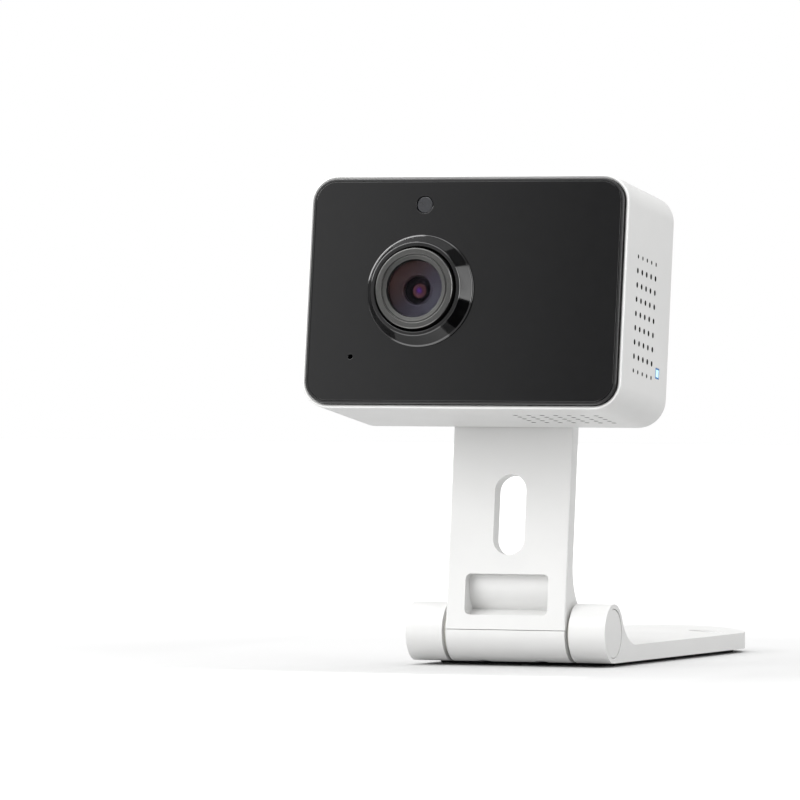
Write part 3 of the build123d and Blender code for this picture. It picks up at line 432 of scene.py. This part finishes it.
# ---- Lens glass ----
# Ground and polished optical glass, whose anti-reflection coat dims and tints what it mirrors.
# The front element is a shallow dome, the second sits deeper in the barrel.
def lens_points(front, edge, back_depth, radius):
    """(radius, depth) points of a lens: a curved front face, a straight rim and a flat back."""
    rows = 10
    curve = [(radius * i / rows, front + (edge - front) * (i / rows) ** 2) for i in range(rows + 1)]
    return curve + [(radius, back_depth), (0, back_depth)]


coated, tree, shader, where = finish_named("coated_optical_glass")
film = node(tree, "ShaderNodeTexNoise", {"Vector": where, "Scale": 300.0, "Detail": 2.0}).outputs["Fac"]
gloss = node(tree, "ShaderNodeMapRange", {"Value": film, "To Min": 0.0, "To Max": 0.03}).outputs["Result"]
tree.links.new(gloss, shader["Roughness"])
shader["Base Color"].default_value = colour("eef0f6")
shader["Transmission Weight"].default_value = 1.0
shader["IOR"].default_value = 1.52
shader["Specular Tint"].default_value = colour("3a3038")

front_glass = piece_from(turned(lens_points(-3.4, -3.1, -1.9, front_r), closed=False), "front_glass", coated)
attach(front_glass, "head")
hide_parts("lens_front_element")

# The second element's colour is a painted reflection of its coat, violet at its middle and brown towards its rim,
# and it glows faintly though it is no lamp.
glass_with_painted_reflection, tree, shader, where = finish_named("coated_glass_painted_reflection_glow")
centred = about_lens(tree, where)
off_axis = (1.0, 0.0, 1.0)
flat = node(tree, "ShaderNodeVectorMath", {0: centred, 1: off_axis}, operation="MULTIPLY").outputs["Vector"]
reach = node(tree, "ShaderNodeVectorMath", {0: flat}, operation="LENGTH").outputs["Value"]
ripple = node(tree, "ShaderNodeTexNoise", {"Vector": where, "Scale": 1200.0, "Detail": 1.0}).outputs["Fac"]
painted_reflection_r = 1.7 * mm
share = node(tree, "ShaderNodeMapRange", {"Value": reach, "From Min": 0.0, "From Max": painted_reflection_r}).outputs["Result"]
painted_reflection_share = node(tree, "ShaderNodeMath", {0: ripple, 1: 0.25, 2: share}, operation="MULTIPLY_ADD").outputs["Value"]
tone = tone_between(tree, shader, painted_reflection_share, "7a3fa8", "120c0e")
tone.color_ramp.elements.new(0.3).color = colour("2c1240")
tone.color_ramp.elements.new(0.55).color = colour("3c221c")
tone.color_ramp.elements.new(0.8).color = colour("5a3628")
# Painted reflection and glow: the same colours are also emitted.
tree.links.new(tone.outputs["Color"], shader["Emission Color"])
shader["Emission Strength"].default_value = 0.1
shader["Specular Tint"].default_value = colour("a25cd8")
shader["Specular IOR Level"].default_value = 0.2
shader["Roughness"].default_value = 0.05
shader["IOR"].default_value = 1.6

second_glass = piece_from(turned(lens_points(-0.2, 0.75, 1.6, 2.7), closed=False), "second_glass", glass_with_painted_reflection)
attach(second_glass, "head")
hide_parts("lens_second_element")

# ---- Light sensor window ----
# A pellet of smoked polycarbonate pressed into the panel above the lens.
# Dark, glossy, with a faintly milky face.
smoked, tree, shader, where = finish_named("smoked_polycarbonate")
milk = node(tree, "ShaderNodeTexNoise", {"Vector": where, "Scale": 900.0, "Detail": 2.0}).outputs["Fac"]
tone_between(tree, shader, milk, "1c1d20", "2a2b2f")
shader["Roughness"].default_value = 0.22
shader["IOR"].default_value = 1.58

sensor_window = piece_from(copy_of("light_sensor_window"), "sensor_window", smoked)
soften(sensor_window, 0.15 * mm, 3)
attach(sensor_window, "head")
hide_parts("light_sensor_window")

# ---- Status light ----
# A clear acrylic light guide behind the right wall, lit cyan from inside by the status LED.
# Its face glows, and its cut edges look a deep blue.
lit_acrylic, tree, shader, where = finish_named("lit_acrylic_light_guide")
cloud = node(tree, "ShaderNodeTexNoise", {"Vector": where, "Scale": 900.0, "Detail": 1.0}).outputs["Fac"]
tone = tone_between(tree, shader, cloud, "a9e2fa", "cdf2ff")
tree.links.new(tone.outputs["Color"], shader["Emission Color"])
shader["Emission Strength"].default_value = 0.4
shader["Roughness"].default_value = 0.15
shader["IOR"].default_value = 1.49

blue_edge, tree, shader, where = finish_named("blue_lit_acrylic_edge")
cloud = node(tree, "ShaderNodeTexNoise", {"Vector": where, "Scale": 900.0, "Detail": 1.0}).outputs["Fac"]
tone = tone_between(tree, shader, cloud, "1b5f9e", "2a76b8")
tree.links.new(tone.outputs["Color"], shader["Emission Color"])
shader["Emission Strength"].default_value = 0.15
shader["Roughness"].default_value = 0.2
shader["IOR"].default_value = 1.49

made = copy_of("light_pipe")
bmesh.ops.recalc_face_normals(made, faces=made.faces)
outer = [f for f in made.faces if f.normal.x > 0.9]
edge_wide = 0.32 * mm
bmesh.ops.inset_region(made, faces=outer, thickness=edge_wide, depth=0, use_even_offset=True)
for face in made.faces:
    face.material_index = int(face not in outer)
guide = piece_from(made, "light_guide", lit_acrylic, blue_edge)
soften(guide, 0.05 * mm, 2)
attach(guide, "head")
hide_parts("light_pipe")


# ---- Rear cover ----
# The same white ABS: a plate that closes the shell, with two lugs for the tilt hinge.
# Four countersunk screws hold it, and it has openings for the power plug and the reset button.
rear = piece_from(copy_of("rear_cover"), "back_plate", white_abs)
soften(rear, 0.2 * mm, 3)
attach(rear, "head")
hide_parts("rear_cover")


# ---- Fasteners ----
# Zinc-plated steel screws, pins, nut and disc springs: bright, with a slightly blotchy plating.
# They are CAD pieces that keep their shape and take this finish.
def dress(finish, *names):
    """Gives CAD nodes this finish."""
    for name in names:
        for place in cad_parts[name].material_slots:
            place.material = finish


steel, tree, shader, where = finish_named("zinc_plated_steel")
blotch = node(tree, "ShaderNodeTexNoise", {"Vector": where, "Scale": 900.0, "Detail": 3.0}).outputs["Fac"]
tone_between(tree, shader, blotch, "a9abae", "c6c8ca")
gloss = node(tree, "ShaderNodeMapRange", {"Value": blotch, "To Min": 0.25, "To Max": 0.4}).outputs["Result"]
tree.links.new(gloss, shader["Roughness"])
shader["Metallic"].default_value = 1.0
dress(steel, "rear_cover_screws", "sensor_board_screws", "main_board_screws", "barrel_cover_screws",
      "tilt_pin", "base_hinge_pin", "base_hinge_nut", "base_disc_springs")

# ---- Circuit boards ----
# Glass-epoxy boards under a dark green solder mask, chips in black epoxy and a tin-plated screening can.
# They lie inside the head, and only glimpses show through its openings.
mask, tree, shader, where = finish_named("green_solder_mask")
cells = node(tree, "ShaderNodeTexVoronoi", {"Vector": where, "Scale": 900.0}, distance="MANHATTAN")
tracks = cells.outputs["Distance"]
tone_between(tree, shader, tracks, "1d5a36", "0f3d24")
raise_grain(tree, shader, tracks, 0.4, 0.03 * mm)
shader["Roughness"].default_value = 0.3
dress(mask, "sensor_board", "main_board", "antenna")

epoxy, tree, shader, where = finish_named("black_chip_epoxy")
pits = node(tree, "ShaderNodeTexNoise", {"Vector": where, "Scale": 3000.0, "Detail": 2.0}).outputs["Fac"]
tone_between(tree, shader, pits, "141416", "222225")
raise_grain(tree, shader, pits, 0.4, 0.01 * mm)
shader["Roughness"].default_value = 0.55
dress(epoxy, "processor", "image_sensor", "light_sensor", "reset_switch", "status_led", "flex_connectors")

tin, tree, shader, where = finish_named("tin_plated_sheet")
roll_marks = node(tree, "ShaderNodeMapping", {"Vector": where, "Scale": (300.0, 4000.0, 4000.0)})
stretched = roll_marks.outputs["Vector"]
streaks = node(tree, "ShaderNodeTexNoise", {"Vector": stretched, "Scale": 1.0, "Detail": 2.0}).outputs["Fac"]
tone_between(tree, shader, streaks, "b4b3ae", "cdccc6")
shader["Metallic"].default_value = 1.0
shader["Roughness"].default_value = 0.32
dress(tin, "shield_can", "usb_socket", "microphone", "speaker_magnet")

polyimide, tree, shader, where = finish_named("amber_polyimide_film")
lines = node(tree, "ShaderNodeTexWave", {"Vector": where, "Scale": 320.0}, bands_direction="X").outputs["Fac"]
tone_between(tree, shader, lines, "a8631c", "c98436")
shader["Roughness"].default_value = 0.35
dress(polyimide, "flex_cable", "speaker_cone")

lamp_epoxy, tree, shader, where = finish_named("clear_lamp_epoxy")
cloud = node(tree, "ShaderNodeTexNoise", {"Vector": where, "Scale": 900.0, "Detail": 2.0}).outputs["Fac"]
tone_between(tree, shader, cloud, "1c1420", "2c2234")
shader["Roughness"].default_value = 0.08
shader["IOR"].default_value = 1.53
dress(lamp_epoxy, "ir_leds")

filter_glass, tree, shader, where = finish_named("red_cut_filter_glass")
cloud = node(tree, "ShaderNodeTexNoise", {"Vector": where, "Scale": 400.0, "Detail": 1.0}).outputs["Fac"]
tone_between(tree, shader, cloud, "10283a", "1a2140")
shader["Roughness"].default_value = 0.03
shader["IOR"].default_value = 1.52
dress(filter_glass, "ir_cut_filter")

# ---- Rubber and black fittings ----
# Moulded silicone rubber: the microphone's boot, the speaker's gasket, the thermal pad and the foot's pad.
# Matt dark grey with a chalky bloom.
rubber, tree, shader, where = finish_named("matt_silicone_rubber")
bloom = node(tree, "ShaderNodeTexNoise", {"Vector": where, "Scale": 600.0, "Detail": 4.0}).outputs["Fac"]
tone_between(tree, shader, bloom, "1b1b1c", "2b2b2c")
raise_grain(tree, shader, bloom, 0.5, 0.02 * mm)
shader["Roughness"].default_value = 0.8
dress(rubber, "microphone_boot", "speaker_gasket", "thermal_pad", "foot_pad")
dress(black_abs, "lens_holder", "speaker_frame")
dress(stray_black, "aperture_stop")

# Black foam behind the vents and the speaker fills their holes: a dark fill that stands in for the shade inside
# the holes.
foam, tree, shader, where = finish_named("black_foam_filling_hole_shade")
cells = node(tree, "ShaderNodeTexVoronoi", {"Vector": where, "Scale": 4000.0}).outputs["Distance"]
tone_between(tree, shader, cells, "060606", "1a1a1a")
raise_grain(tree, shader, cells, 0.6, 0.05 * mm)
shader["Roughness"].default_value = 1.0
shader["Specular IOR Level"].default_value = 0.1
dress(foam, "vent_foam", "speaker_foam")

acetal, tree, shader, where = finish_named("natural_acetal")
cloud = node(tree, "ShaderNodeTexNoise", {"Vector": where, "Scale": 500.0, "Detail": 2.0}).outputs["Fac"]
tone_between(tree, shader, cloud, "dcdad2", "e8e6df")
shader["Roughness"].default_value = 0.35
shader["IOR"].default_value = 1.48
dress(acetal, "base_bushes", "base_friction_washers", "tilt_washers")

# ---- Reset button ----
# A small moulded white plunger that stands in its hole in the rear cover.
# It keeps its CAD shape and takes the shell's plastic.
dress(white_abs, "reset_button")

# ---- Arm ----
# A flat bar of the same white ABS, moulded in one with the barrel that hinges on the foot.
# It has a long slot, and below it a scooped finger pocket. Its edges are softly rounded.
arm = piece_from(copy_of("arm"), "stand_arm", white_abs)
soften(arm, 0.3 * mm, 3)
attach(arm, "arm")
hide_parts("arm")

# ---- Barrel cover ----
# A half tube that closes the underside of the arm's barrel over the hinge bushes.
# A thin seam shows where it meets the barrel.
under_cover = piece_from(copy_of("barrel_cover"), "barrel_half", white_abs)
soften(under_cover, 0.1 * mm, 2)
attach(under_cover, "arm")
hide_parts("barrel_cover")

# ---- Foot ----
# A flat tongue of white ABS with a half-round end, weighted by a steel plate and standing on a rubber pad.
# Two knuckles at its front carry the hinge pin, their open ends closed by round caps.
foot = piece_from(copy_of("foot"), "stand_foot", white_abs)
soften(foot, 0.6 * mm, 4)
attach(foot, "foot")
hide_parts("foot")

cap_right = piece_from(copy_of("end_cap_right"), "cap_right", white_abs)
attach(cap_right, "foot")
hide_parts("end_cap_right")

cap_left = piece_from(copy_of("end_cap_left"), "cap_left", white_abs)
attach(cap_left, "foot")
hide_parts("end_cap_left")

plate, tree, shader, where = finish_named("blued_steel_plate")
blotch = node(tree, "ShaderNodeTexNoise", {"Vector": where, "Scale": 200.0, "Detail": 4.0}).outputs["Fac"]
tone_between(tree, shader, blotch, "3b3d42", "54565b")
shader["Metallic"].default_value = 1.0
shader["Roughness"].default_value = 0.45
dress(plate, "ballast_plate")
